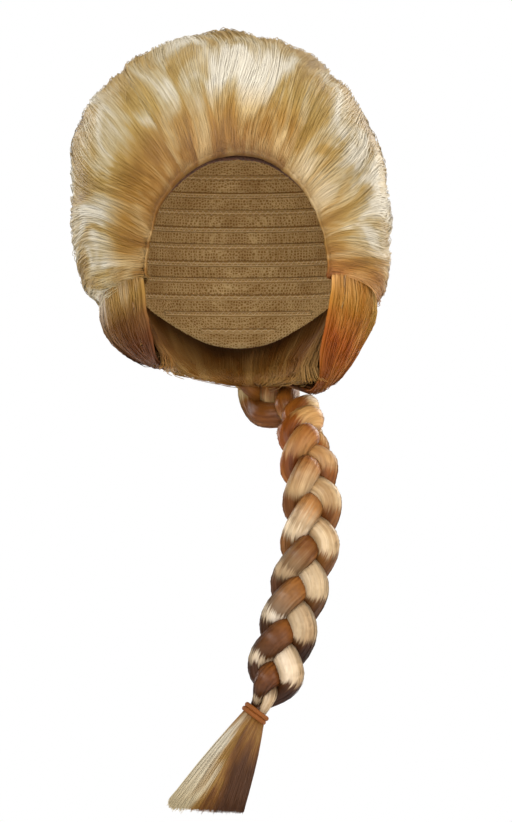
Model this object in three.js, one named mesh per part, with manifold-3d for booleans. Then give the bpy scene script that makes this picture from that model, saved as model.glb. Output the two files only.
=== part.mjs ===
// A blonde costume wig. A net cap with an elastic hem carries five masses of hair, swept up and back from
// the face and gathered at the nape. There a three-strand braid starts, comes forward over the wearer's
// left shoulder and ends in a tied, blunt-cut tuft. Right and left are the wearer's.
// Millimetres, +Z up, face opening towards -Y, so the wearer's left is +X. The origin is the highest point
// inside the cap, where it rests on the crown of the head.
import * as THREE from "three";
import { LoftGeometry } from "three/addons/geometries/LoftGeometry.js";
import { ParametricGeometry } from "three/addons/geometries/ParametricGeometry.js";
import { mergeVertices } from "three/addons/utils/BufferGeometryUtils.js";
import Module from "manifold-3d";

const wasm = await Module();
wasm.setup();

const GAP = 0.3; // clearance between pieces that touch
const MERGE = 1e-4; // vertices closer than this are one vertex
const NUDGE = 1e-3; // share of a curve's length over which its direction is read
const BLOCK = 1000; // size of a cutting block, larger than the wig
const UP = new THREE.Vector3(0, 0, 1);
const FORWARD = new THREE.Vector3(0, -1, 0);

// Head hollow: an ellipsoid for the skull, whose top is the origin, and a column for the neck
const SKULL_HALF_WIDTH = 72;
const SKULL_HALF_DEPTH = 92;
const SKULL_HALF_HEIGHT = 95;
const NECK_HALF_WIDTH = 46;
const NECK_HALF_DEPTH = 50;
const NECK_Y = -7;
const NECK_TOP = -110;
const NECK_BOTTOM = -260;
const SKULL_SEGMENTS = 36;

// Cap and hem
const CAP_WALL = 2;
const CAP_SLICES = 28;
const CAP_RINGS = 7;
const CAP_EASE = 0.9; // room between the cap and the hair, which are both faceted
const HEM_WIDTH = 5;

// Height of the cap's rim, by the turn in degrees from the middle of the brow to the nape
const CAP_RIM = [
  { turn: 0, height: -37 },
  { turn: 20, height: -41 },
  { turn: 40, height: -58 },
  { turn: 55, height: -84 },
  { turn: 75, height: -115 },
  { turn: 90, height: -126 },
  { turn: 120, height: -139 },
  { turn: 150, height: -154 },
  { turn: 165, height: -158.5 },
  { turn: 180, height: -160 },
];

// Face opening in the hair, an arch seen from the front
const FACE_HALF_WIDTH = 60.5;
const FACE_TOP = -37;
const FACE_WIDEST = -108;
const FACE_FOOT = -176;
const FACE_FOOT_HALF_WIDTH = 52;

// The opening runs forward through these slanting planes and flares in front of the cap's rim
const FACE_PLANES = [
  { topY: -5, footY: -5, flare: 0 },
  { topY: -76, footY: -32, flare: 0 },
  { topY: -150, footY: -120, flare: 0.42 },
];
const FACE_SEGMENTS = 18;

// Outline of the hair from the front: radius by angle round its middle, 0 at the wearer's left, 90 at the top
const OUTLINE = [
  { angle: -90, radius: 66 },
  { angle: -72, radius: 84 },
  { angle: -57, radius: 97 },
  { angle: -30, radius: 97 },
  { angle: 0, radius: 101 },
  { angle: 20, radius: 108 },
  { angle: 40, radius: 124 },
  { angle: 60, radius: 142 },
  { angle: 80, radius: 156 },
  { angle: 100, radius: 159 },
  { angle: 120, radius: 155 },
  { angle: 140, radius: 142 },
  { angle: 160, radius: 118 },
  { angle: 180, radius: 107 },
  { angle: 194, radius: 98 },
  { angle: 210, radius: 97 },
  { angle: 230, radius: 85 },
  { angle: 250, radius: 70 },
  { angle: 270, radius: 66 },
];
const OUTLINE_TOP = 157.5; // how far the outline reaches above its middle
const OUTLINE_FOOT = -84; // and below it

// Sections through the hair from the face to the nape. Each is a plane from a foot to a top point, holding
// the outline at a share of its width. Lines of equal angle from section to section are the hair's flow.
const SECTIONS = [
  { step: 0, topY: -106, topZ: -47, footY: -60, footZ: -144, width: 0.4, x: 0 },
  { step: 1, topY: -102, topZ: -22, footY: -46, footZ: -157, width: 0.57, x: 0 },
  { step: 2, topY: -90, topZ: 4, footY: -31, footZ: -171, width: 0.74, x: 0 },
  { step: 3, topY: -66, topZ: 28, footY: -16, footZ: -184, width: 0.89, x: 0 },
  { step: 4, topY: -36, topZ: 41, footY: -4, footZ: -191, width: 0.965, x: 0 },
  { step: 5, topY: -4, topZ: 47, footY: 8, footZ: -194, width: 1, x: 0 },
  { step: 6, topY: 34, topZ: 39, footY: 20, footZ: -192, width: 0.985, x: 0 },
  { step: 7, topY: 72, topZ: 14, footY: 29, footZ: -189, width: 0.94, x: 0 },
  { step: 8, topY: 102, topZ: -30, footY: 37, footZ: -186, width: 0.86, x: 0 },
  { step: 9, topY: 115, topZ: -84, footY: 44, footZ: -184, width: 0.7, x: 2 },
  { step: 10, topY: 108, topZ: -135, footY: 50, footZ: -183, width: 0.46, x: 6 },
  { step: 11, topY: 95, topZ: -166, footY: 54, footZ: -182, width: 0.27, x: 10 },
  { step: 12, topY: 84, topZ: -182, footY: 57, footZ: -182, width: 0.17, x: 13 },
];
const SECTIONS_PER_STEP = 1.5;
const NAPE_Z = -182;

// Masses of hair between two angles of the outline, each in a number of locks
const MASSES = [
  { name: "hair_side_left", from: -90, to: -4, locks: 4 },
  { name: "hair_swell_left", from: -4, to: 65, locks: 4 },
  { name: "hair_top", from: 65, to: 120, locks: 5 },
  { name: "hair_swell_right", from: 120, to: 187, locks: 4 },
  { name: "hair_side_right", from: 187, to: 270, locks: 4 },
];
const LOCK_POINTS = 3;
const LOCK_DEPTH = 2.6;
const PARTING_DEPTH = 5;
const PARTING_HALF_GAP = 0.5;
const SWAY = 4; // degrees that the flow wanders
const SWAY_WAVES = 3;
const SWAY_PER_STEP = 0.9;

// Braid: middle line from the nape over the left shoulder to the tie
const BRAID_ROUTE = [
  [13, 70, -172],
  [14, 70, -184],
  [23, 65, -197],
  [36, 50, -206],
  [43, 30, -212],
  [43, 8, -219],
  [45, -12, -230],
  [47.5, -28, -246.5],
  [48.5, -41, -270],
  [46, -50, -294.5],
  [39.5, -57, -318.5],
  [32.5, -63, -344],
  [26.5, -66, -363.5],
  [20.5, -69, -384],
  [11.5, -70, -397.5],
  [6, -70.5, -404.5],
];
const STRANDS = 3;
const BRAID_AXIS = new THREE.Vector3(18, 25, 0); // the braid's broad side faces away from this upright line
const BRAID_PERIOD = 86;
const BRAID_START_TURN = 0.29; // share of a period
const STRAND_SWING = 11.8;
const STRAND_WEAVE = 8;
const STRAND_HALF_WIDTH = 7.4;
const STRAND_HALF_DEPTH = 5.2;
const STRAND_GAP = 0.5;
const STRAND_STEPS = 44;
const STRAND_SIDES = 7;
const TAPER_START = 0.86; // shares of the braid's length between which it narrows to the tie
const TAPER_END = 0.955;
const TAPER_SCALE = 0.32;

// Hair tie, a ring round the braid at the last point but one of its route
const TIE = new THREE.Vector3(...BRAID_ROUTE[BRAID_ROUTE.length - 2]);
const TIE_AXIS = new THREE.Vector3(-0.6, -0.05, -0.8).normalize();
const TIE_BORE_RADIUS = 6.4;
const TIE_CORD_RADIUS = 2.2;
const TIE_CORD_SIDES = 6;
const TIE_SEGMENTS = 18;

// Tuft below the tie, a fan of locks from the tie to a blunt slanting end
const TUFT_LOCKS = 8;
const TUFT_END = new THREE.Vector3(-22.7, -71, -458);
const TUFT_SPREAD = new THREE.Vector3(22, 0, -3); // half of the end, from its middle to its left tip
const TUFT_STAGGER = 4; // locks lie alternately this far before and behind the middle
const TUFT_BEND = 24; // how far the hair keeps the tie's direction
const TUFT_TOP_HALF = 3.4;
const TUFT_END_HALF_WIDTH = 5;
const TUFT_END_HALF_DEPTH = 8;
const TUFT_TOP_SPREAD = 2.6;
const TUFT_STEPS = 5;
const TUFT_SIDES = 7;

const fibre = (name, color, roughness) => new THREE.MeshStandardMaterial({ name, color, roughness });
const GOLD_HAIR = fibre("hair_fibre", "#c9a766", 0.45);
const BRAID_HAIR = fibre("braid_fibre", "#b98a48", 0.45);
const CAP_NET = fibre("cap_net", "#8a6a42", 0.9);
const HEM_ELASTIC = fibre("hem_elastic", "#4a2a18", 0.85);
const TIE_ELASTIC = fibre("tie_elastic", "#a8641e", 0.7);

const radians = THREE.MathUtils.degToRad;

// A solid from a closed geometry. Triangles that a pole has shrunk to a line are dropped.
function solidOf(geometry) {
  const bare = new THREE.BufferGeometry();
  bare.setAttribute("position", geometry.attributes.position);
  bare.setIndex(geometry.index);
  const merged = mergeVertices(bare, MERGE);
  const corners = [];
  for (let i = 0; i < merged.index.count; i += 3) {
    const [a, b, c] = [0, 1, 2].map((k) => merged.index.getX(i + k));
    if (a !== b && b !== c && c !== a) corners.push(a, b, c);
  }
  const vertProperties = merged.attributes.position.array;
  return new wasm.Manifold(new wasm.Mesh({ numProp: 3, vertProperties, triVerts: new Uint32Array(corners) }));
}

function geometryOf(solid) {
  const { vertProperties, triVerts } = solid.getMesh();
  const geometry = new THREE.BufferGeometry();
  geometry.setAttribute("position", new THREE.BufferAttribute(vertProperties, 3));
  geometry.setIndex(new THREE.BufferAttribute(triVerts, 1));
  geometry.computeVertexNormals();
  return geometry;
}

const wig = new THREE.Group();

function addPiece(name, solid, material) {
  const mesh = new THREE.Mesh(geometryOf(solid), material.clone());
  mesh.name = name;
  wig.add(mesh);
}

const loft = (sections) => solidOf(new LoftGeometry(sections, { capStart: true, capEnd: true }));

// Everything on the far side of a plane, as a block that reaches past the wig
function beyond(point, normal) {
  const block = new THREE.BoxGeometry(BLOCK, BLOCK, BLOCK);
  block.translate(0, 0, BLOCK / 2);
  block.applyQuaternion(new THREE.Quaternion().setFromUnitVectors(UP, normal));
  block.translate(point.x, point.y, point.z);
  return solidOf(block);
}

// The value of a table's column at a key, on a smooth curve through its rows
function smooth(table, key, column, at) {
  const last = table.length - 1;
  let row = 0;
  while (row < last - 1 && at > table[row + 1][key]) row += 1;
  const slope = (k) => {
    const before = table[Math.max(k - 1, 0)];
    const after = table[Math.min(k + 1, last)];
    return (after[column] - before[column]) / (after[key] - before[key]);
  };
  const span = table[row + 1][key] - table[row][key];
  const t = (at - table[row][key]) / span;
  const rise = t * t * (3 - 2 * t);
  const start = table[row][column] * (1 - rise) + slope(row) * span * t * (1 - t) ** 2;
  return start + table[row + 1][column] * rise - slope(row + 1) * span * t * t * (1 - t);
}

// Cap and hem lie on the skull. A place there is a turn from the brow and an angle down from the crown.
function skullPoint(turn, down, lift) {
  const across = Math.sin(down);
  return new THREE.Vector3(
    (SKULL_HALF_WIDTH + lift) * across * Math.sin(turn),
    -(SKULL_HALF_DEPTH + lift) * across * Math.cos(turn),
    (SKULL_HALF_HEIGHT + lift) * Math.cos(down) - SKULL_HALF_HEIGHT,
  );
}

function rimDown(turn) {
  const fromBrow = Math.abs(THREE.MathUtils.radToDeg(Math.atan2(Math.sin(turn), Math.cos(turn))));
  const height = smooth(CAP_RIM, "turn", "height", fromBrow);
  return Math.acos((height + SKULL_HALF_HEIGHT) / SKULL_HALF_HEIGHT);
}

// The cap's surface runs from the crown down its outside to the rim and back up its inside
function makeCap() {
  const stacks = 2 * CAP_RINGS + 1;
  const pointAt = (u, v, target) => {
    const turn = -u * 2 * Math.PI;
    const ring = Math.round(v * stacks);
    const outside = ring <= CAP_RINGS;
    const share = (outside ? ring : stacks - ring) / CAP_RINGS;
    target.copy(skullPoint(turn, share * rimDown(turn), outside ? CAP_WALL : 0));
  };
  return solidOf(new ParametricGeometry(pointAt, CAP_SLICES, stacks));
}

function makeHem() {
  const sections = [];
  for (let i = 0; i <= CAP_SLICES; i += 1) {
    const turn = ((i % CAP_SLICES) / CAP_SLICES) * 2 * Math.PI;
    const top = rimDown(turn) + GAP / SKULL_HALF_HEIGHT;
    const bottom = top + HEM_WIDTH / SKULL_HALF_HEIGHT;
    sections.push([
      skullPoint(turn, top, 0),
      skullPoint(turn, top, CAP_WALL),
      skullPoint(turn, bottom, CAP_WALL),
      skullPoint(turn, bottom, 0),
    ]);
  }
  return solidOf(new LoftGeometry(sections));
}

// The arch of the face opening, from its left foot over the brow to its right foot
function faceArch() {
  const bulge = (FACE_FOOT + FACE_WIDEST) / 2;
  const arch = new THREE.Path();
  arch.moveTo(FACE_FOOT_HALF_WIDTH, NECK_BOTTOM);
  arch.lineTo(FACE_FOOT_HALF_WIDTH, FACE_FOOT);
  arch.quadraticCurveTo(FACE_HALF_WIDTH, bulge, FACE_HALF_WIDTH, FACE_WIDEST);
  arch.absellipse(0, FACE_WIDEST, FACE_HALF_WIDTH, FACE_TOP - FACE_WIDEST, 0, Math.PI);
  arch.quadraticCurveTo(-FACE_HALF_WIDTH, bulge, -FACE_FOOT_HALF_WIDTH, FACE_FOOT);
  arch.lineTo(-FACE_FOOT_HALF_WIDTH, NECK_BOTTOM);
  return arch.getPoints(FACE_SEGMENTS);
}

function makeFaceOpening() {
  const arch = faceArch();
  const sections = FACE_PLANES.map(({ topY, footY, flare }) => arch.map((place) => {
    const rise = (place.y - FACE_FOOT) / (FACE_TOP - FACE_FOOT);
    const height = FACE_WIDEST + (place.y - FACE_WIDEST) * (1 + flare);
    return new THREE.Vector3(place.x * (1 + flare), THREE.MathUtils.lerp(footY, topY, rise), height);
  }));
  return loft(sections);
}

// What the hair leaves open: the head with the cap on it, the neck and the face
function makeHollow() {
  const lift = CAP_WALL + CAP_EASE;
  const skull = new THREE.SphereGeometry(1, SKULL_SEGMENTS, SKULL_SEGMENTS / 2);
  skull.rotateX(Math.PI / 2);
  skull.scale(SKULL_HALF_WIDTH + lift, SKULL_HALF_DEPTH + lift, SKULL_HALF_HEIGHT + lift);
  skull.translate(0, 0, -SKULL_HALF_HEIGHT);

  const neck = new THREE.CylinderGeometry(1, 1, NECK_TOP - NECK_BOTTOM, SKULL_SEGMENTS);
  neck.rotateX(Math.PI / 2);
  neck.scale(NECK_HALF_WIDTH, NECK_HALF_DEPTH, 1);
  neck.translate(0, NECK_Y, (NECK_TOP + NECK_BOTTOM) / 2);

  return solidOf(skull).add(solidOf(neck)).add(makeFaceOpening());
}

const polar = (angle, radius) => new THREE.Vector2(radius * Math.cos(angle), radius * Math.sin(angle));

// The direction, in radians, of the hair at a share of the way across a mass. It wanders between the edges.
function flow({ from, to }, share, step) {
  const angle = THREE.MathUtils.lerp(from, to, share);
  const wave = Math.sin(SWAY_PER_STEP * step + SWAY_WAVES * radians(angle));
  return radians(angle + SWAY * Math.sin(Math.PI * share) * wave);
}

// A point of the outline's plane, set into the section at a step
function sectionPoint(step, place) {
  const at = (column) => smooth(SECTIONS, "step", column, step);
  const rise = (place.y - OUTLINE_FOOT) / (OUTLINE_TOP - OUTLINE_FOOT);
  return new THREE.Vector3(
    at("x") + place.x * at("width"),
    THREE.MathUtils.lerp(at("footY"), at("topY"), rise),
    THREE.MathUtils.lerp(at("footZ"), at("topZ"), rise),
  );
}

// How far the surface is pressed in beside a lock, most at the partings between masses
function lockValley(place, locks) {
  const share = place % 1;
  const bulge = Math.sqrt(4 * share * (1 - share));
  const deepest = place === 0 || place === locks ? PARTING_DEPTH : LOCK_DEPTH;
  return deepest * (1 - bulge);
}

// A mass of hair is a wedge of the outline, carried through the sections, round the hollow
function makeHairMass(mass, hollow) {
  const points = mass.locks * LOCK_POINTS;
  const start = radians(mass.from);
  const end = radians(mass.to);
  const half = (end - start) / 2;
  const sections = [];
  for (let i = 0; i <= (SECTIONS.length - 1) * SECTIONS_PER_STEP; i += 1) {
    const step = i / SECTIONS_PER_STEP;
    const open = PARTING_HALF_GAP / smooth(SECTIONS, "step", "width", step);
    const section = [polar(start + half, open / Math.sin(half))];
    for (let k = 0; k <= points; k += 1) {
      const angle = THREE.MathUtils.lerp(mass.from, mass.to, k / points);
      const radius = smooth(OUTLINE, "angle", "radius", angle) - lockValley(k / LOCK_POINTS, mass.locks);
      section.push(polar(flow(mass, k / points, step), radius));
    }
    section[1].add(polar(start + Math.PI / 2, open));
    section[points + 1].add(polar(end - Math.PI / 2, open));
    sections.push(section.map((place) => sectionPoint(step, place)).reverse());
  }
  return loft(sections).subtract(hollow);
}

const routePlaces = BRAID_ROUTE.map((place) => new THREE.Vector3(...place));
const route = new THREE.CatmullRomCurve3(routePlaces, false, "centripetal");
const routeLength = route.getLength();
const braidTurn = (share) => 2 * Math.PI * ((share * routeLength) / BRAID_PERIOD + BRAID_START_TURN);

// The broad side of the braid faces away from an upright line inside the neck
function braidFront(share) {
  const along = route.getTangentAt(share);
  const front = route.getPointAt(share).sub(BRAID_AXIS).setZ(0);
  return front.addScaledVector(along, -front.dot(along)).normalize();
}

function braidScale(share) {
  return THREE.MathUtils.lerp(1, TAPER_SCALE, THREE.MathUtils.smoothstep(share, TAPER_START, TAPER_END));
}

// The corners of an ellipse, from its middle and its two half axes
function ellipse(middle, across, out, sides) {
  const corners = [];
  for (let k = 0; k < sides; k += 1) {
    const place = polar((2 * Math.PI * k) / sides, 1);
    corners.push(middle.clone().addScaledVector(across, place.x).addScaledVector(out, place.y));
  }
  return corners;
}

// A strand swings from side to side once a period, and weaves over and under twice: it lies in front
// on its way down from the middle to an edge, and behind on its way back
function strandMiddle(share, phase) {
  const turn = braidTurn(share) + phase;
  const front = braidFront(share);
  const side = front.clone().cross(route.getTangentAt(share));
  const scale = braidScale(share);
  return route.getPointAt(share)
    .addScaledVector(side, STRAND_SWING * scale * Math.sin(turn))
    .addScaledVector(front, STRAND_WEAVE * scale * Math.sin(2 * turn));
}

function makeStrand(phase, grow) {
  const sections = [];
  for (let i = 0; i <= STRAND_STEPS; i += 1) {
    const share = i / STRAND_STEPS;
    const before = strandMiddle(Math.max(share - NUDGE, 0), phase);
    const along = strandMiddle(Math.min(share + NUDGE, 1), phase).sub(before).normalize();
    const across = braidFront(share).cross(along).normalize();
    const out = along.clone().cross(across);
    across.multiplyScalar((STRAND_HALF_WIDTH + grow) * braidScale(share));
    out.multiplyScalar((STRAND_HALF_DEPTH + grow) * braidScale(share));
    sections.push(ellipse(strandMiddle(share, phase), across, out, STRAND_SIDES));
  }
  return loft(sections);
}

// The strands press each other flat where they cross, so each gives way to those before it
function makeBraid() {
  const strands = [];
  const pressed = [];
  for (let i = 0; i < STRANDS; i += 1) {
    const phase = (2 * Math.PI * i) / STRANDS;
    let strand = makeStrand(phase, 0);
    for (const neighbour of pressed) strand = strand.subtract(neighbour);
    strands.push(strand);
    pressed.push(makeStrand(phase, STRAND_GAP));
  }
  return strands;
}

function makeTie() {
  const radius = TIE_BORE_RADIUS + TIE_CORD_RADIUS;
  const ring = new THREE.TorusGeometry(radius, TIE_CORD_RADIUS, TIE_CORD_SIDES, TIE_SEGMENTS);
  ring.applyQuaternion(new THREE.Quaternion().setFromUnitVectors(UP, TIE_AXIS));
  ring.translate(TIE.x, TIE.y, TIE.z);
  return solidOf(ring);
}

// One lock of the tuft, place -1 to 1 across the fan
function makeTuftLock(place, depth) {
  const aside = FORWARD.clone().cross(TIE_AXIS).normalize();
  const top = TIE.clone().addScaledVector(TIE_AXIS, GAP).addScaledVector(aside, TUFT_TOP_SPREAD * place);
  const bend = top.clone().addScaledVector(TIE_AXIS, TUFT_BEND);
  const end = TUFT_END.clone().addScaledVector(TUFT_SPREAD, place);
  end.y += depth;
  const middle = new THREE.QuadraticBezierCurve3(top, bend, end);
  const sections = [];
  for (let i = 0; i <= TUFT_STEPS; i += 1) {
    const share = i / TUFT_STEPS;
    const along = middle.getTangent(share);
    const across = FORWARD.clone().cross(along).normalize();
    const out = along.clone().cross(across);
    across.multiplyScalar(THREE.MathUtils.lerp(TUFT_TOP_HALF, TUFT_END_HALF_WIDTH, share));
    out.multiplyScalar(THREE.MathUtils.lerp(TUFT_TOP_HALF, TUFT_END_HALF_DEPTH, share));
    sections.push(ellipse(middle.getPoint(share), across, out, TUFT_SIDES));
  }
  return loft(sections);
}

function makeTuft() {
  let tuft = null;
  for (let i = 0; i < TUFT_LOCKS; i += 1) {
    const lock = makeTuftLock((2 * i) / (TUFT_LOCKS - 1) - 1, i % 2 ? TUFT_STAGGER : -TUFT_STAGGER);
    tuft = tuft ? tuft.add(lock) : lock;
  }
  return tuft;
}

addPiece("wig_cap", makeCap(), CAP_NET);
addPiece("cap_hem", makeHem(), HEM_ELASTIC);

const hollow = makeHollow();
for (const mass of MASSES) addPiece(mass.name, makeHairMass(mass, hollow), GOLD_HAIR);

const aboveNape = beyond(new THREE.Vector3(0, 0, NAPE_Z - GAP), UP);
const belowTie = beyond(TIE, TIE_AXIS);
makeBraid().forEach((strand, i) => {
  addPiece(`braid_strand_${i + 1}`, strand.subtract(aboveNape).subtract(belowTie), BRAID_HAIR);
});
addPiece("hair_tie", makeTie(), TIE_ELASTIC);
addPiece("tail_tuft", makeTuft(), BRAID_HAIR);

export default wig;
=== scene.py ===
# %% [markdown]
# # A braided costume wig
# The wig is a net cap with an elastic hem, hair that is swept up and back from the face opening, and one long
# braid that comes forward on the left and ends in a tied tuft. The solids of the frame give every piece its
# place. Here each of them is dressed: the cap gets its sewn wefts, and the hair gets its fibres.

# %% Load the frame
import math

import bmesh
import bpy
import numpy as np
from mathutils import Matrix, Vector


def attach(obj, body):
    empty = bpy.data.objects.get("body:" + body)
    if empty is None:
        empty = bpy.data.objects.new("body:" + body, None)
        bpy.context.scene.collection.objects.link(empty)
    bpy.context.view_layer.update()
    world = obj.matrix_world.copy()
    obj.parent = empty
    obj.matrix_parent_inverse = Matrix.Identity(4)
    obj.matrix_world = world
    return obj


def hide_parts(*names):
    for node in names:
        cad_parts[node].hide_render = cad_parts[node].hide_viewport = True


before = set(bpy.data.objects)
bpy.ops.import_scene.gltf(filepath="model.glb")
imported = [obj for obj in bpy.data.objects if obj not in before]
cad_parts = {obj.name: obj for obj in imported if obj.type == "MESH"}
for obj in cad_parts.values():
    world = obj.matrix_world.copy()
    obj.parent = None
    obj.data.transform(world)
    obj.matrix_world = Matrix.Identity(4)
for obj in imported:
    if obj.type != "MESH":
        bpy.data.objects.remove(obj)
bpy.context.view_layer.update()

MM = 0.001  # one millimetre, in Blender's metres
scene = bpy.context.scene
print("solids in the frame:", sorted(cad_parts))

# %% [markdown]
# ## Camera
# The picture looks straight into the face opening, level with the middle of the wig, from far enough away
# that the braid looks hardly larger than the hair behind it. A long lens at three metres gives that, and its
# focal length follows from the height that the picture has to hold.

# %% Camera
CAMERA_PLACE = (0.0119, -3.0, -0.2026)
VIEW_HEIGHT = 0.5425  # metres, at the middle of the cap
SENSOR = 36  # millimetres, along the picture's longer side

lens = bpy.data.cameras.new("front_camera")
lens.sensor_width = SENSOR
lens.lens = SENSOR * -CAMERA_PLACE[1] / VIEW_HEIGHT
camera = bpy.data.objects.new("front_camera", lens)
camera.location = CAMERA_PLACE
camera.rotation_euler = (math.pi / 2, 0, 0)
scene.collection.objects.link(camera)
scene.camera = camera
print("focal length in mm:", round(lens.lens, 1))

# %% [markdown]
# ## Materials from nodes
# Each material is a small graph of nodes. One helper adds a node, gives it its settings and links it. One
# more turns the colours, which are written as they look on a screen, into the linear values that a renderer
# works with.


# %% Node helper and colours
def linear(colour):
    """The linear colour of an sRGB hex value."""
    parts = np.array([int(colour[k : k + 2], 16) for k in (1, 3, 5)]) / 255
    parts = np.where(parts <= 0.04045, parts / 12.92, ((parts + 0.055) / 1.055) ** 2.4)
    return (*parts, 1.0)


def add(owner, kind, inputs=None, stops=None, **settings):
    """Adds a node to a material or world. Settings fill its properties or inputs, and stops fill a ramp.

    Each of the inputs takes a number, an output, or a node, which stands for its first output."""
    node = owner.node_tree.nodes.new("ShaderNode" + kind)
    for name, value in settings.items():
        if name in node.bl_rna.properties:
            setattr(node, name, value)
        else:
            node.inputs[name.replace("_", " ")].default_value = value
    for name, source in (inputs or {}).items():
        if isinstance(source, (int, float)):
            node.inputs[name].default_value = source
        else:
            output = source.outputs[0] if isinstance(source, bpy.types.Node) else source
            owner.node_tree.links.new(output, node.inputs[name])
    if stops:
        ramp = node.color_ramp.elements
        while len(ramp) < len(stops):
            ramp.new(1.0)
        for element, (position, colour) in zip(ramp, stops.items()):
            element.position = position
            element.color = linear(colour)
    return node


def new_material(name):
    material = bpy.data.materials.new(name)
    material.use_nodes = True
    material.node_tree.nodes.clear()
    return material


print("half grey of a screen, linear:", round(linear("#808080")[0], 3))

# %% [markdown]
# ## Floor and light
# The floor is one pale disc under the wig. Large soft lights stand round it: a strong one high at the front,
# towards the wig's right side, whose reflection makes cream bands across the hair, and weaker ones that keep
# the sides and the back readable. On the braid the cream bands are also painted, as painted highlights.

# %% Floor
FLOOR_Z = -0.62
FLOOR_RADIUS = 1.5

paint = new_material("floor_paint")  # matt, so it takes soft shadows and shows no reflection
painted = add(paint, "BsdfPrincipled", Base_Color=linear("#f6f5f2"), Roughness=0.9)
add(paint, "OutputMaterial", {"Surface": painted})

floor_mesh = bmesh.new()
bmesh.ops.create_circle(floor_mesh, cap_ends=True, segments=128, radius=FLOOR_RADIUS)
bmesh.ops.translate(floor_mesh, verts=floor_mesh.verts[:], vec=(0, 0, FLOOR_Z))
floor_data = bpy.data.meshes.new("floor")
floor_mesh.to_mesh(floor_data)
floor_mesh.free()
floor = bpy.data.objects.new("floor", floor_data)
floor_data.materials.append(paint)
scene.collection.objects.link(floor)
print("floor at", FLOOR_Z)

# %% Lights and sky
# name: place and target in metres, width in metres, power in watts, colour
LIGHTS = {
    "key_softbox": ((-0.9, -1.5, 0.9), (0, 0, -0.1), 0.9, 20, "#ffffff"),
    "front_softbox": ((0.2, -2.4, 0.1), (0, 0, -0.15), 1.8, 22, "#ffffff"),
    "fill_softbox": ((1.6, -1.0, 0.2), (0, 0, -0.15), 1.2, 16, "#fff4e6"),
    "top_softbox": ((0.1, 0.2, 1.3), (0, 0, 0), 1.0, 8, "#ffffff"),
    "back_left_softbox": ((1.2, 1.5, 0.5), (0, 0, -0.1), 1.0, 16, "#fffaf0"),
    "back_right_softbox": ((-1.4, 1.2, 0.3), (0, 0, -0.1), 1.0, 12, "#ffffff"),
}
SKY_LIGHT, SKY_SEEN = 0.6, 1.0  # strength of the sky as a light, and as the picture's background

for name, (stand, target, width, power, colour) in LIGHTS.items():
    light = bpy.data.lights.new(name, "AREA")
    light.size = width
    light.energy = power
    light.color = linear(colour)[:3]
    softbox = bpy.data.objects.new(name, light)
    softbox.location = stand
    softbox.rotation_euler = (Vector(target) - Vector(stand)).to_track_quat("-Z", "Y").to_euler()
    scene.collection.objects.link(softbox)

sky = scene.world = bpy.data.worlds.new("pale_studio")
sky.use_nodes = True
sky.node_tree.nodes.clear()
seen = add(sky, "LightPath").outputs["Is Camera Ray"]
strength = add(sky, "MapRange", {"Value": seen}, To_Min=SKY_LIGHT, To_Max=SKY_SEEN)
glow = add(sky, "Background", {"Strength": strength}, Color=linear("#ffffff"))
add(sky, "OutputWorld", {"Surface": glow})
scene.view_settings.view_transform = "Standard"
print("lights:", len(LIGHTS))

# %% [markdown]
# ## Bending a flat grid
# Most pieces here are sheets or tubes: a cap, a ribbon, a bed of hair. Each starts as a flat grid of quads
# with a UV map. A place function then says where the point at a share of the way across and along goes. The
# same UV map later tells the material which way the fibres run. It is named for the texture that it takes.

# %% Grid helper
UV_NAME = "OFBake"
WELD = 0.01  # millimetres within which the points of a seam or a pole become one


def finish_piece(mesh, material, slot, *replaced):
    """Makes the mesh a smooth object of the wig, with its material, and hides the solids it stands for.

    The slot is not used.
    """
    mesh.polygons.foreach_set("use_smooth", np.ones(len(mesh.polygons), bool))
    mesh.materials.append(material)
    piece = bpy.data.objects.new(mesh.name, mesh)
    scene.collection.objects.link(piece)
    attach(piece, "root")
    if replaced:
        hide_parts(*replaced)
    print(piece.name, "faces:", len(mesh.polygons))
    return piece


def bent_grid(name, columns, rows, place):
    """A grid whose points are moved to place(across, along), which gives them in millimetres."""
    bm = bmesh.new()
    bm.loops.layers.uv.new(UV_NAME)
    bmesh.ops.create_grid(bm, x_segments=columns, y_segments=rows, size=0.5, calc_uvs=True)
    flat = np.array([vert.co for vert in bm.verts]) + 0.5
    for vert, spot in zip(bm.verts, place(flat[:, 0], flat[:, 1]) * MM):
        vert.co = spot
    bmesh.ops.remove_doubles(bm, verts=bm.verts[:], dist=WELD * MM)
    bmesh.ops.recalc_face_normals(bm, faces=bm.faces[:])
    mesh = bpy.data.meshes.new(name)
    bm.to_mesh(mesh)
    bm.free()
    return mesh


print("UV map of the grids:", UV_NAME)

# %% [markdown]
# ## Fibres as fine tubes
# Loose fibres are thousands of copies of one idea: a tube with three sides along a line of points. Operators
# would be slow for so many, so their points are worked out as one array and go into one mesh. A real fibre is
# under a tenth of a millimetre thick. It is drawn several times as thick so that it still shows in a picture.
# In the outer hair, tubes shaded one by one would glitter. There their normals turn most of the way to those
# of the mass they lie in, which then takes the light as one soft surface.

# %% Fibre helper
FIBRE_CORNERS = np.radians([90, 210, 330])
SIDEWAYS = np.array([0.31, -0.87, 0.38])  # a direction that few fibres run along
UV_HALF_WIDTH = 0.0012  # half the width of a fibre in the UV map
FIBRE_SOFTNESS = 0.7  # how far the normals of a fibre turn to those of its mass


def unit(vectors):
    return vectors / np.maximum(np.linalg.norm(vectors, axis=-1, keepdims=True), 1e-9)


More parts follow.
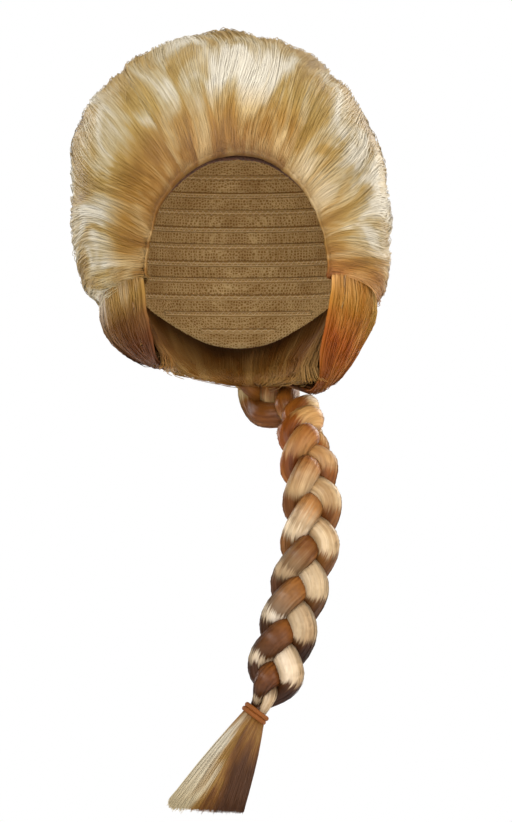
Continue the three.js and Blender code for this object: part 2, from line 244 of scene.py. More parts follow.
def fibre_mesh(name, paths, radius, across, along, out=None):
    """Three-sided tubes round paths (fibre, station, xyz), with a radius, across and along for the stations.

    With out, the direction straight out of the hair, the tubes are shaded softly, as part of its surface."""
    count, stations = shape = paths.shape[:2]
    radius, across, along = (np.broadcast_to(values, shape) for values in (radius, across, along))
    heading = unit(np.gradient(paths, axis=1))
    side = unit(np.cross(heading, SIDEWAYS if out is None else out))
    for k in range(1, stations):
        turned = (side[:, k] * side[:, k - 1]).sum(-1, keepdims=True) < 0
        side[:, k] = np.where(turned, -side[:, k], side[:, k])
    up = np.cross(heading, side)
    turn = FIBRE_CORNERS[None, None, :, None]
    outward = np.cos(turn) * side[:, :, None] + np.sin(turn) * up[:, :, None]
    rings = paths[:, :, None] + radius[..., None, None] * outward
    corner = np.arange(count * stations * 3).reshape(count, stations, 3)
    after = np.roll(corner, -1, axis=2)
    walls = np.stack([corner[:, :-1], after[:, :-1], after[:, 1:], corner[:, 1:]], -1).reshape(-1, 4)
    ends = np.concatenate([corner[:, 0, ::-1], corner[:, -1]])
    mesh = bpy.data.meshes.new(name)
    mesh.from_pydata((rings.reshape(-1, 3) * MM).tolist(), [], walls.tolist() + ends.tolist())
    aside = np.array([-1, 1, 0]) * UV_HALF_WIDTH
    uv = np.stack(np.broadcast_arrays(across[..., None] + aside, along[..., None]), -1).reshape(-1, 2)
    loop_corner = np.empty(len(mesh.loops), int)
    mesh.loops.foreach_get("vertex_index", loop_corner)
    mesh.uv_layers.new(name=UV_NAME).data.foreach_set("uv", np.clip(uv, 0, 1)[loop_corner].ravel())
    if out is not None:
        mesh.shade_smooth()
        soft = unit(outward * (1 - FIBRE_SOFTNESS) + out[:, :, None] * FIBRE_SOFTNESS)
        mesh.normals_split_custom_set_from_vertices(soft.reshape(-1, 3).tolist())
    return mesh


print("sides of a fibre:", len(FIBRE_CORNERS))

# %% [markdown]
# ## Reading the wig's own shape
# The hair follows a few tables of sizes in millimetres: the outline from the front, by the angle round its
# middle, and thirteen sections from the face opening to the nape. Reading the tables on smooth curves gives a
# point of the hair for every angle and step. The lip table says at which step the hair meets the opening. The
# cap follows one half-round form, down to the height that the rim table gives.

# %% Tables of the hair and the cap
# angle in degrees, radius
OUTLINE = np.array([
    (-90, 66), (-72, 84), (-57, 97), (-30, 97), (0, 101), (20, 108), (40, 124), (60, 142), (80, 156),
    (100, 159), (120, 155), (140, 142), (160, 118), (180, 107), (194, 98), (210, 97), (230, 85), (250, 70),
    (270, 66),
], float)
OUTLINE_MIDDLE = -110  # height of the point that its angles turn round
OUTLINE_FOOT, OUTLINE_RISE = -84, 241.5  # its lowest point below that, and its whole height

# step, top y and z, foot y and z, share of the outline's width, middle x
SECTIONS = np.array([
    (0, -106, -47, -60, -144, 0.4, 0), (1, -102, -22, -46, -157, 0.57, 0), (2, -90, 4, -31, -171, 0.74, 0),
    (3, -66, 28, -16, -184, 0.89, 0), (4, -36, 41, -4, -191, 0.965, 0), (5, -4, 47, 8, -194, 1, 0),
    (6, 34, 39, 20, -192, 0.985, 0), (7, 72, 14, 29, -189, 0.94, 0), (8, 102, -30, 37, -186, 0.86, 0),
    (9, 115, -84, 44, -184, 0.7, 2), (10, 108, -135, 50, -183, 0.46, 6), (11, 95, -166, 54, -182, 0.27, 10),
    (12, 79, -190, 61, -188, 0.13, 14.5),
], float)
LAST_STEP = 12

# angle in degrees, step
LIP = np.array([
    (-90, 8.3), (-80, 8.4), (-75, 8.2), (-70, 7.6), (-65, 6.2), (-60, 4.1), (-55, 3.45), (-50, 2.62),
    (-40, 2.09), (-30, 1.75), (-20, 1.53), (-10, 1.4), (0, 1.33), (20, 1.24), (40, 1.06), (60, 0.93),
    (90, 0.83), (110, 0.75), (130, 0.68), (140, 0.71), (150, 0.83), (160, 1), (180, 1.16), (190, 1.37),
    (200, 1.55), (210, 1.75), (220, 2.37), (225, 2.9), (230, 4), (235, 4.5), (240, 6.1), (245, 7), (250, 7.6),
    (260, 8.1), (270, 8.3),
], float)

# turn in degrees from the middle of the front, height of the cap's rim
CAP_RIM = np.array([
    (0, -37), (20, -41), (40, -58), (55, -84), (75, -115), (90, -126), (120, -139), (150, -154),
    (165, -158.5), (180, -160),
], float)
CAP_HALF = np.array([72, 92, 95], float)  # half width, depth and height of the form
CAP_HEIGHT = CAP_HALF[2]


def smooth(table, column, at):
    """A column of a table, read on a smooth curve through its rows."""
    keys, values = table[:, 0], table[:, column]
    last = len(keys) - 1
    before = np.maximum(np.arange(last + 1) - 1, 0)
    after = np.minimum(np.arange(last + 1) + 1, last)
    slope = (values[after] - values[before]) / (keys[after] - keys[before])
    row = np.clip(np.searchsorted(keys, at) - 1, 0, last - 1)
    span = keys[row + 1] - keys[row]
    t = (at - keys[row]) / span
    rise = t * t * (3 - 2 * t)
    start = values[row] * (1 - rise) + slope[row] * span * t * (1 - t) ** 2
    return start + values[row + 1] * rise - slope[row + 1] * span * t * t * (1 - t)


def outer_hair(angle, step):
    """The point of the hair's outside at an angle of the outline and a step from the front to the nape."""
    radius = smooth(OUTLINE, 1, angle)
    rise = (radius * np.sin(np.radians(angle)) - OUTLINE_FOOT) / OUTLINE_RISE
    top_y, top_z, foot_y, foot_z, width, middle = (smooth(SECTIONS, k, step) for k in range(1, 7))
    x = middle + radius * np.cos(np.radians(angle)) * width
    return np.stack([x, foot_y + (top_y - foot_y) * rise, foot_z + (top_z - foot_z) * rise], -1)


def cap_form(turn, down, lift):
    """The point of the cap's form at a turn from the front and an angle down from its top, lifted off it."""
    half = CAP_HALF + np.asarray(lift, float)[..., None]
    way = np.stack([np.sin(down) * np.sin(turn), -np.sin(down) * np.cos(turn), np.cos(down)], -1)
    return half * way - (0, 0, CAP_HEIGHT)


def rim_down(turn):
    """The angle down from the top at which the cap ends."""
    from_front = np.abs(np.degrees(np.arctan2(np.sin(turn), np.cos(turn))))
    return np.arccos((smooth(CAP_RIM, 1, from_front) + CAP_HEIGHT) / CAP_HEIGHT)


print("highest hair in mm:", outer_hair(np.array(90.0), np.array(5.0)).round(1))

# %% [markdown]
# ## Cap
# The cap is a stretchy knitted net. Its inside shows through the face opening, so it is a real wall with two
# sides: the grid runs from the top down its outside, round the rim and back up its inside. The net is a
# pattern of small cells, raised by bump, because modelled threads would be far too many.

# %% Knitted net
NET_CELL = 1.9  # millimetres between threads, more than the real net's so that it shows
NET_STOPS = {0: "#d8bd8a", 0.12: "#bd9a61", 0.26: "#94703b", 1: "#8a6734"}  # from a thread to a cell's middle
NET_RELIEF = 0.3  # millimetres

net = new_material("knitted_net")  # dull yarn: pale threads round darker cells, unevenly worn
net_spot = add(net, "TexCoord").outputs["Object"]
cells = add(
    net, "TexVoronoi", {"Vector": net_spot}, feature="DISTANCE_TO_EDGE",
    Scale=1 / (NET_CELL * MM), Randomness=0.55,
)
net_dye = add(net, "ValToRGB", {"Fac": cells}, NET_STOPS)
wear = add(net, "TexNoise", {"Vector": net_spot}, Scale=60.0, Detail=3.0)
worn = add(net, "ValToRGB", {"Fac": wear}, {0.3: "#d8ccb8", 0.7: "#ffffff"})
net_tint = add(net, "MixRGB", {"Color1": net_dye, "Color2": worn, "Fac": 1.0}, blend_type="MULTIPLY")
knit = add(net, "Bump", {"Height": cells}, invert=True, Strength=0.6, Distance=NET_RELIEF * MM)
knitted = add(
    net, "BsdfPrincipled", {"Base Color": net_tint, "Normal": knit}, Roughness=0.85, IOR=1.5
)
add(net, "OutputMaterial", {"Surface": knitted})
print(net.name, "nodes:", len(net.node_tree.nodes))

# %% Cap
CAP_INSIDE, CAP_OUTSIDE = 0.3, 1.9  # lift of the wall's two sides off the form
CAP_COLUMNS, CAP_ROWS = 120, 61


def cap_place(across, along):
    turn = -2 * np.pi * across
    outside = along < 0.5
    share = np.where(outside, along, 1 - along) * 2 * CAP_ROWS / (CAP_ROWS - 1)
    lift = np.where(outside, CAP_OUTSIDE, CAP_INSIDE)
    return cap_form(turn, np.clip(share, 0, 1) * rim_down(turn), lift)


finish_piece(bent_grid("cap_net", CAP_COLUMNS, CAP_ROWS, cap_place), net, "cap_net", "wig_cap")

# %% [markdown]
# ## Wefts
# Machine-made wigs carry their hair on wefts: narrow bands with the hair sewn in, which run round the back of
# the cap from side to side, one above another. Each band here is a flat tube bent along a level line inside
# the cap, and a zigzag seam of short stitches holds it.

# %% Weft tape and thread
TAPE_ROW = 0.9  # width of a row of its weave, millimetres
WAVE_ROW = 1 / 6.28  # scale of a wave texture whose rows are one unit wide
TAPE_RELIEF = 0.3

tape = new_material("weft_tape")  # woven cotton: matt, with fine level rows
tape_spot = add(tape, "TexCoord").outputs["Object"]
rows = add(
    tape, "TexWave", {"Vector": tape_spot}, bands_direction="Z", Distortion=0.4,
    Scale=WAVE_ROW / (TAPE_ROW * MM),
).outputs["Fac"]
weave = add(tape, "ValToRGB", {"Fac": rows}, {0: "#a07a42", 1: "#d2b27c"})
ridge = add(tape, "Bump", {"Height": rows}, Strength=0.4, Distance=TAPE_RELIEF * MM)
woven = add(tape, "BsdfPrincipled", {"Base Color": weave, "Normal": ridge}, Roughness=0.8)
add(tape, "OutputMaterial", {"Surface": woven})


def yarn_finish(name, specks, dyes, roughness):
    """Yarn between two dyes, whose twist or fuzz shows as fine specks, so many to the metre."""
    yarn = new_material(name)
    yarn_spot = add(yarn, "TexCoord").outputs["Object"]
    fuzz = add(yarn, "TexNoise", {"Vector": yarn_spot}, Scale=specks)
    dye = add(yarn, "ValToRGB", {"Fac": fuzz}, dict(zip((0.3, 0.7), dyes)))
    spun = add(yarn, "BsdfPrincipled", {"Base Color": dye}, Roughness=roughness)
    add(yarn, "OutputMaterial", {"Surface": spun})
    return yarn


# twisted thread: paler and a little shinier than the tape
thread = yarn_finish("polyester_thread", 900.0, ("#c9a974", "#ecd9b0"), 0.55)
print("finishes of the wefts:", tape.name, thread.name)

# %% Wefts
WEFT_TOP, WEFT_SPACING, WEFT_COUNT = -22, 11.5, 12
WEFT_HALF_WIDTH, WEFT_HALF_DEPTH, WEFT_LIFT = 2.0, 0.45, -0.1
WEFT_SIDES, WEFT_ROWS = 6, 72
WEFT_MARGIN = 7  # how far a band ends above the rim
STITCH_LENGTH, STITCH_REACH, STITCH_RADIUS, STITCH_LIFT = 2.4, 1.3, 0.2, -0.75


def weft_line(height, share):
    """Turn and angle down of a level line inside the cap, from the right round the back to the left."""
    front = np.interp(-height, -CAP_RIM[:, 1] - WEFT_MARGIN, CAP_RIM[:, 0])
    turn = np.radians(-front - (360 - 2 * front) * share)
    return turn, np.full_like(turn, np.arccos((height + CAP_HEIGHT) / CAP_HEIGHT))


def joined(name, meshes):
    """One mesh from several, which it takes the place of."""
    bm = bmesh.new()
    for mesh in meshes:
        bm.from_mesh(mesh)
        bpy.data.meshes.remove(mesh)
    whole = bpy.data.meshes.new(name)
    bm.to_mesh(whole)
    bm.free()
    return whole


weft_bands, stitch_paths = [], []
for k in range(WEFT_COUNT):
    height = WEFT_TOP - WEFT_SPACING * k

    def weft_place(across, along):
        turn, down = weft_line(height, along)
        side = np.cos(2 * np.pi * across) * WEFT_HALF_WIDTH
        lift = WEFT_LIFT + np.sin(2 * np.pi * across) * WEFT_HALF_DEPTH
        return cap_form(turn, down + side / CAP_HEIGHT, lift)

    weft_bands.append(bent_grid("weft", WEFT_SIDES, WEFT_ROWS, weft_place))
    weft_middle = cap_form(*weft_line(height, np.linspace(0, 1, 200)), 0)
    length = np.linalg.norm(np.diff(weft_middle, axis=0), axis=1).sum()
    turn, down = weft_line(height, np.linspace(0, 1, int(length / STITCH_LENGTH)))
    zigzag = np.where(np.arange(len(turn)) % 2, STITCH_REACH, -STITCH_REACH)
    points = cap_form(turn, down + zigzag / CAP_HEIGHT, STITCH_LIFT)
    stitch_paths.append(np.stack([points[:-1], points[1:]], 1))
finish_piece(joined("cap_wefts", weft_bands), tape, "cap_net")

stitches = np.concatenate(stitch_paths)
stitch_across = np.linspace(0.01, 0.99, len(stitches))[:, None]
stitch_mesh = fibre_mesh("weft_stitches", stitches, STITCH_RADIUS, stitch_across, [0.1, 0.9])
finish_piece(stitch_mesh, thread, "cap_net")

# %% [markdown]
# ## Hem
# The rim of the cap is bound with a narrow dark elastic. Gathered elastic stands in fine cross ribs, so the
# tube that runs along the rim gets a ripple in its thickness. At the front it shows under the hair.

# %% Hem
# gathered and covered: dark, dull and slightly fuzzy
elastic = yarn_finish("woven_elastic", 700.0, ("#2c170b", "#5d3720"), 0.8)
HEM_SIDES, HEM_RIBS, HEM_ROWS = 10, 150, 600
HEM_HALF_WIDTH, HEM_HALF_DEPTH, HEM_RIPPLE = 2.6, 1.15, 0.16
HEM_GAP, HEM_LIFT = 0.2, 1.0  # how far it lies below the rim and off the form


def hem_place(across, along):
    turn = 2 * np.pi * along
    ripple = 1 + HEM_RIPPLE * np.cos(2 * np.pi * HEM_RIBS * along)
    wide = np.cos(2 * np.pi * across) * HEM_HALF_WIDTH
    deep = np.sin(2 * np.pi * across) * HEM_HALF_DEPTH * ripple
    return cap_form(turn, rim_down(turn) + (HEM_HALF_WIDTH + HEM_GAP + wide) / CAP_HEIGHT, HEM_LIFT + deep)


finish_piece(bent_grid("hem_binding", HEM_SIDES, HEM_ROWS, hem_place), elastic, "hem_elastic", "cap_hem")

# %% [markdown]
# ## Hair finish
# The hair is modacrylic fibre: smooth plastic drawn into threads, so it is glossier than real hair. Its dye
# is never even. Fine streaks run along the fibres, and wider locks are lighter or darker. All of it is drawn
# in the UV map, where across is the place in a mass of hair and along runs from root to tip. Soft patches of
# painted highlight and painted shade lighten or darken a spot. A ramp along the hair tones its roots and
# tips, mostly with painted shade, and one more across it can tone an edge, partly with painted shade. On a
# strand of the braid, painted highlights and painted shade also repeat in bands, once for each time it
# swings over and back.

# %% Modacrylic hair
STREAK, STREAK_RUN = 1.2, 60  # width and length of a streak, millimetres
LOCK, LOCK_RUN = 22, 60  # width and length of a lighter or darker lock
STREAK_NOISE, LOCK_NOISE = {"Detail": 3.0}, {"Detail": 2.0, "Distortion": 0.6}
LOCK_SHARE = 0.82  # how much of the tone comes from the locks, the rest from the streaks
DYE_TONES = (0.32, 0.45, 0.56, 0.7)  # tones at which the four dyes show, from dark to light
STREAK_RELIEF = 0.4  # millimetres
BAND_FADE = (0.38, 0.84)  # from where to where along a strand its upper bands turn into the lower ones
BAND_ANISOTROPY = 0.7


def hair_finish(
    name, size, dyes, roots, light_and_shade_patches=(), shift=0.0, roughness=0.46, gloss=0.38, edge=None, bands=None
):
    """Hair of a size across and along, in four dyes, toned by roots and one edge.

    Its patches and repeated bands are painted highlights and painted shade.
    """
    hair = new_material(name)  # smooth plastic threads: glossy, with a fine grain along the fibres
    width, length = size
    flow = add(hair, "UVMap", uv_map=UV_NAME)
    noises = []
    for wide, long, down, grain in (STREAK, STREAK_RUN, 0, STREAK_NOISE), (LOCK, LOCK_RUN, shift, LOCK_NOISE):
        stretch = (width / wide, length / long, 1)
        drawn = add(hair, "Mapping", {"Vector": flow}, Location=(shift, down, 0), Scale=stretch)
        noises.append(add(hair, "TexNoise", {"Vector": drawn}, noise_dimensions="2D", Scale=1.0, **grain))
    streaks, locks = noises
    tone = add(hair, "MixRGB", {"Color1": streaks, "Color2": locks, "Fac": LOCK_SHARE})
    # each patch is painted light: a highlight where its lightening is above zero, shade where it is below
    for across, along, half_across, half_along, lightening in light_and_shade_patches:
        centred = add(
            hair, "Mapping", {"Vector": flow}, vector_type="TEXTURE", Location=(across, along, 0),
            Scale=(half_across, half_along, 1),
        )
        spot = add(hair, "TexGradient", {"Vector": centred}, gradient_type="SPHERICAL").outputs["Fac"]
        tone = add(hair, "Math", {0: spot, 1: lightening, 2: tone}, operation="MULTIPLY_ADD")
    parts = add(hair, "SeparateXYZ", {"Vector": flow})
    run = parts.outputs["Y"]
    layers = [add(hair, "ValToRGB", {"Fac": run}, roots)]
    if edge:
        layers.append(add(hair, "ValToRGB", {"Fac": parts.outputs["X"]}, edge))
    raised = add(hair, "Bump", {"Height": streaks}, Strength=0.18, Distance=STREAK_RELIEF * MM)
    surface = {"Normal": raised}
    # bands of painted highlight and painted shade along a strand of the braid
    if bands:
        repeats, first, ragged, upper, lower = bands
        frayed = add(
            hair, "Math", {0: streaks, 1: ragged, 2: first - ragged / 2}, operation="MULTIPLY_ADD"
        )
        rounds = add(hair, "Math", {0: run, 1: repeats, 2: frayed}, operation="MULTIPLY_ADD")
        turn = add(hair, "Math", {0: rounds}, operation="FRACT")
        above = add(hair, "ValToRGB", {"Fac": turn}, upper)
        below = add(hair, "ValToRGB", {"Fac": turn}, lower)
        fade = add(hair, "MapRange", {"Value": run}, From_Min=BAND_FADE[0], From_Max=BAND_FADE[1])
        layers.append(add(hair, "MixRGB", {"Color1": above, "Color2": below, "Fac": fade}))
        surface["Tangent"] = add(hair, "Tangent", direction_type="UV_MAP", uv_map=UV_NAME)
    colour = add(hair, "ValToRGB", {"Fac": tone}, dict(zip(DYE_TONES, dyes)))
    for layer in layers:
        both = {"Color1": colour, "Color2": layer, "Fac": 1.0}
        colour = add(hair, "MixRGB", both, blend_type="MULTIPLY")
    fibre = add(
        hair, "BsdfPrincipled", {"Base Color": colour, **surface}, Roughness=roughness, IOR=1.5,
        Specular_IOR_Level=gloss, Anisotropic=BAND_ANISOTROPY if bands else 0.0,
    )
    add(hair, "OutputMaterial", {"Surface": fibre})
    return hair


print("dyes of a finish:", len(DYE_TONES))

# %% [markdown]
# ## Under-hair
# A full wig isn't hollow between its cap and its outer hair. The copies of the five hair solids are fused by
# a voxel remesh, smoothed and drawn in by a few millimetres, which gives the mass of hair that shows in the
# gaps, round the inside of the face opening and from below. It is darkened with painted shade.

# %% Shaded hair
UNDER_COMB = (520, 520, 16)  # streaks to the metre: fine across and long from top to bottom
UNDER_STOPS = {0.3: "#5c3c1a", 0.5: "#8a6230", 0.7: "#b08a4c"}
UNDER_RELIEF = 0.6

shaded = new_material("modacrylic_under_hair")  # the same fibre in the shade: darker, in upright streaks
shaded_spot = add(shaded, "TexCoord").outputs["Object"]
combed = add(shaded, "Mapping", {"Vector": shaded_spot}, Scale=UNDER_COMB)
strands = add(shaded, "TexNoise", {"Vector": combed}, Scale=1.0, Detail=3.0)
under_shade_tone = add(shaded, "ValToRGB", {"Fac": strands}, UNDER_STOPS)
under_grain = add(shaded, "Bump", {"Height": strands}, Strength=0.6, Distance=UNDER_RELIEF * MM)
under = add(shaded, "BsdfPrincipled", {"Base Color": under_shade_tone, "Normal": under_grain}, Roughness=0.5)
add(shaded, "OutputMaterial", {"Surface": under})
print("finish of the under-hair:", shaded.name)

# %% Under-hair
HAIR_NODES = ["hair_side_left", "hair_swell_left", "hair_top", "hair_swell_right", "hair_side_right"]
UNDER_VOXEL, UNDER_DEPTH = 4.0, 7.6
UNDER_SOFTENING = 4  # rounds of smoothing

solids = bmesh.new()
for node in HAIR_NODES:
    solids.from_mesh(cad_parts[node].data)
bmesh.ops.remove_doubles(solids, verts=solids.verts[:], dist=0.001 * MM)
draft_mesh = bpy.data.meshes.new("under_hair_draft")
solids.to_mesh(draft_mesh)
solids.free()
draft = bpy.data.objects.new("under_hair_draft", draft_mesh)
scene.collection.objects.link(draft)
fuse = draft.modifiers.new("fuse", "REMESH")
fuse.mode = "VOXEL"
fuse.voxel_size = UNDER_VOXEL * MM
draft.modifiers.new("soften", "SMOOTH").iterations = UNDER_SOFTENING
draw_in = draft.modifiers.new("draw_in", "DISPLACE")
draw_in.mid_level = 0
draw_in.strength = -UNDER_DEPTH * MM
under_mesh = bpy.data.meshes.new_from_object(draft.evaluated_get(bpy.context.evaluated_depsgraph_get()))
bpy.data.objects.remove(draft)
bpy.data.meshes.remove(draft_mesh)
under_mesh.name = "under_hair"
under_mesh.materials.clear()
finish_piece(under_mesh, shaded, "hair_fibre")

# %% [markdown]
# ## The way the hair runs
# Two place functions say how a mass of hair lies. Swept hair is rooted at the hem, rolls forward over the lip
# of the face opening and runs up and back to the nape. Falling hair hangs from under the swept hair at either
# side and turns under. Both give a point for a share across the mass and a share along the fibre, so beds and
# fibres can use them alike, and a small step to either side gives the direction straight out of the hair.

# %% Swept and falling hair
ROLL = 0.1  # share of a fibre's length from its root to the lip
ROLL_STEP, ROLL_REACH = 0.1, 6  # the roll heads for the point that many of these steps in front of the lip
RIM_LIFT, ROOT_LIFT = 2.0, 2.6  # how far off the cap's form the rim is read and the hair is rooted
# how far below the rim swept hair is rooted at the front, where the hem shows, and at the sides, in radians
ROOT_FRONT, ROOT_SIDE, ROOT_TURN = 0.022, 0.045, 0.9
DROOP_STEPS = 4.5  # steps behind the lip over which swept hair turns down
# how brushed hair strays from its line: degrees, change with the step and with the turn, first phase
SWAY = [(1.8, 0.95, 5, 0), (1.2, 1.7, -9, 1)]
FALL_BACK_STEP = 11.4
FALL_DRIFT = 0.12  # share of the width that falling hair moves back by its tip
FALL_INSET, FALL_INSET_START, FALL_INSET_RUN = 1.1, 0.6, 0.25  # steps its inner edge draws back, and where
# waves of the brushed-out surface: change of phase in radians a millimetre along x, y and z, and first phase
FLUFF_WAVES = np.array([
    (0.11, 0.05, 0.07, 0.3), (-0.06, 0.09, 0.12, 1.9), (0.13, -0.08, -0.05, 4.1), (0.03, 0.14, -0.1, 2.6),
])
FLUFF = 0.3  # height of each wave
HAIR_MIDDLE = np.array([0, 5, -85])
FORWARD = np.array([0, -1, 0])
SMALL = 2e-3  # the small step to either side, as a share

rim_turns = np.radians(np.arange(0, 91, 2))
rim_points = cap_form(rim_turns, rim_down(rim_turns), RIM_LIFT)
rim_angles = np.degrees(np.arctan2(rim_points[:, 2] - OUTLINE_MIDDLE, rim_points[:, 0]))


def ease(share):
    """A share that starts and ends slowly on its way from 0 to 1."""
    share = np.clip(share, 0, 1)
    return share * share * (3 - 2 * share)


def sway(angle, step):
    """How far, in degrees, brushed hair strays from its line."""
    return sum(size * np.sin(a * step + b * np.radians(angle) + phase) for size, a, b, phase in SWAY)


def swept(start, end, droop=0.0, droop_edge=0.0):
    """Place function of swept hair between two outline angles, which droops more towards droop_edge."""

    def place(across, along):
        angle = start + (end - start) * across
        inner = 1 - (1 - np.sin(np.pi * np.clip(across, 0, 1))) ** 2
        lip = np.interp(angle, LIP[:, 0], LIP[:, 1])
        step = lip + (LAST_STEP - lip) * np.clip((along - ROLL) / (1 - ROLL), 0, 1)
        fall = droop * ease((step - lip) / DROOP_STEPS) * np.clip(1 - np.abs(across - droop_edge), 0, 1) ** 2
        surface = outer_hair(angle + fall + inner * sway(angle, step), step)
        edge_angle = angle + inner * sway(angle, lip)
        edge = outer_hair(edge_angle, lip)
        before = edge - (outer_hair(edge_angle, lip + ROLL_STEP) - edge) * ROLL_REACH
        mirrored = np.where(angle > 90, 180 - angle, angle)
        turn = np.interp(-mirrored, -rim_angles, rim_turns) * np.where(angle > 90, -1, 1)
        below_rim = ROOT_FRONT + (ROOT_SIDE - ROOT_FRONT) * np.clip(np.abs(turn) / ROOT_TURN, 0, 1)
        root = cap_form(turn, rim_down(turn) + below_rim, ROOT_LIFT)
        q = np.clip(along / ROLL, 0, 1)[..., None]
        roll = root * (1 - q) ** 2 + before * 2 * q * (1 - q) + edge * q**2
        return np.where((along < ROLL)[..., None], roll, surface)

    return place


def falling(start, end):
    """Place function of hair that falls from one outline angle to another."""

    def place(across, along):
        angle = start + (end - start) * along
        inset = FALL_INSET * np.clip((along - FALL_INSET_START) / FALL_INSET_RUN, 0, 1)
        lip = np.interp(angle, LIP[:, 0], LIP[:, 1]) + inset
        back = across + FALL_DRIFT * along * across * (1 - across) * 4
        return outer_hair(angle, lip + (FALL_BACK_STEP - lip) * back)

    return place


def fluff(spot):
    """The height of the soft waves of brushed-out hair at a point of it."""
    return FLUFF * np.sin(spot @ FLUFF_WAVES[:, :3].T + FLUFF_WAVES[:, 3]).sum(-1)


def lifted(place, across, along, lift, roll):
    """Points of the hair, moved out of it by a lift in millimetres, and the direction straight out.

    Before the roll's end that direction turns forward."""
    spot = place(across, along)
    behind = np.maximum(along, roll + 2 * SMALL)
    sideways = place(across + SMALL, behind) - place(across - SMALL, behind)
    onward = place(across, behind + SMALL) - place(across, behind - SMALL)
    out = unit(np.cross(onward, sideways))
    if ((spot - HAIR_MIDDLE) * out).sum(-1).mean() < 0:
        out = -out
    if roll:
        q = np.clip(along / roll, 0, 1)[..., None]
        out = unit(out * q + FORWARD * (1 - q))
    return spot + (lift + fluff(spot))[..., None] * out, out


print("points read along the rim:", len(rim_points))

# %% [markdown]
# ## Beds and fibres of the five masses
# Each mass gets a bed, a sheet pressed in between its locks, and on it some two thousand fibres. A fibre
# starts under the surface, rises, runs with its neighbours and closes up with them into a wisp towards its
# tip. A fixed seed makes the same hair on every run.

# %% Tones of the five masses
SWEPT_SIZE, SIDE_SIZE = (150, 370), (230, 130)  # width and length of a mass, millimetres
SIDE_GLOSS = 0.16
BLONDE = ("#937434", "#aa8c4d", "#b8a67f", "#d3cab6")
# along each swept mass from root to tip: painted shade where the hair rolls under at the hairline, lighter
# above it and darker again towards the tips; the pale ramp has less painted shade at the roots
SWEPT_ROOTS = {
    0: "#6a4a26", 0.04: "#a08050", 0.09: "#dcbc88", 0.15: "#ecd4a6", 0.21: "#ffffff", 0.75: "#f6ecd6",
    1: "#d8b67c",
}
PALE_ROOTS = {
    0: "#8a6a42", 0.04: "#c8aa7c", 0.09: "#f4e2c2", 0.15: "#fff8ea", 0.21: "#ffffff", 0.75: "#f6ecd6",
    1: "#d8b67c",
}
# the right side's lobe: a painted highlight across its upper part at 0.25, and painted shade, warm brown,
# over its lower part
LOBE_ROOTS = {0: "#cdad90", 0.25: "#f0e2d8", 0.37: "#b08c6c", 0.5: "#946444", 0.65: "#92623e", 1: "#9c683c"}
# the left side's amber, partly a warmer dye and partly painted shade
AMBER_ROOTS = {0: "#ffffff", 0.16: "#fff4d8", 0.3: "#fff0ac", 0.48: "#f0b470", 0.7: "#dcb880", 1: "#d8b684"}
# painted highlights, and painted shade where the lightening is below zero: across, along, half size
# across and along, and lightening
TOP_PAINTED_LIGHT = [
    (0.5, 0.26, 0.5, 0.13, 0.12), (0.39, 0.22, 0.25, 0.1, 0.09), (0.05, 0.25, 0.2, 0.1, 0.08),
    (0.1, 0.09, 0.2, 0.07, 0.12),
]
RIGHT_PAINTED_LIGHT = [
    (0.66, 0.24, 0.3, 0.09, 0.15), (0.14, 0.26, 0.2, 0.1, 0.05), (0.3, 0.31, 0.35, 0.12, 0.01),
    (0.2, 0.15, 0.25, 0.07, -0.14), (0.5, 0.14, 0.35, 0.07, -0.2), (0.4, 0.22, 0.14, 0.1, -0.06),
]
LEFT_PAINTED_LIGHT = [
    (0.57, 0.28, 0.42, 0.15, 0.24), (0.7, 0.18, 0.25, 0.06, -0.04), (0.38, 0.2, 0.25, 0.1, 0.06),
    (0.85, 0.09, 0.3, 0.08, 0.14), (0.04, 0.24, 0.22, 0.2, -0.06), (0.92, 0.25, 0.16, 0.1, 0.1),
]
AMBER_PAINTED_LIGHT = [(0.25, 0.2, 0.5, 0.15, 0.16)]
LOBE_PAINTED_LIGHT = [(0.3, 0.22, 0.3, 0.16, 0.26)]
# more amber across the left side towards its face edge, and across the left swell towards its lower edge:
# partly a warmer dye and partly painted shade
AMBER_FRONT = {0: "#ecc090", 0.25: "#f4d2a4", 0.7: "#fff4e0", 1: "#ffffff"}
AMBER_EDGE = {0: "#ecb878", 0.1: "#f6d8a4", 0.26: "#ffffff", 1: "#ffffff"}

top_finish = hair_finish("modacrylic_blonde_top", SWEPT_SIZE, BLONDE, SWEPT_ROOTS, TOP_PAINTED_LIGHT)
right_finish = hair_finish("modacrylic_blonde_right", SWEPT_SIZE, BLONDE, SWEPT_ROOTS, RIGHT_PAINTED_LIGHT, 3.7)
left_finish = hair_finish(
    "modacrylic_blonde_left", SWEPT_SIZE, BLONDE, PALE_ROOTS, LEFT_PAINTED_LIGHT, 8.2, edge=AMBER_EDGE
)
lobe_finish = hair_finish(
    "modacrylic_shaded_side", SIDE_SIZE, BLONDE, LOBE_ROOTS, LOBE_PAINTED_LIGHT, 1.9, gloss=SIDE_GLOSS
)
amber_finish = hair_finish(
    "modacrylic_amber_side", SIDE_SIZE, BLONDE, AMBER_ROOTS, AMBER_PAINTED_LIGHT, 5.1, gloss=SIDE_GLOSS,
    edge=AMBER_FRONT,
)
print("nodes of the top's finish:", len(top_finish.node_tree.nodes))

# %% Hair masses
rng = np.random.default_rng(11)
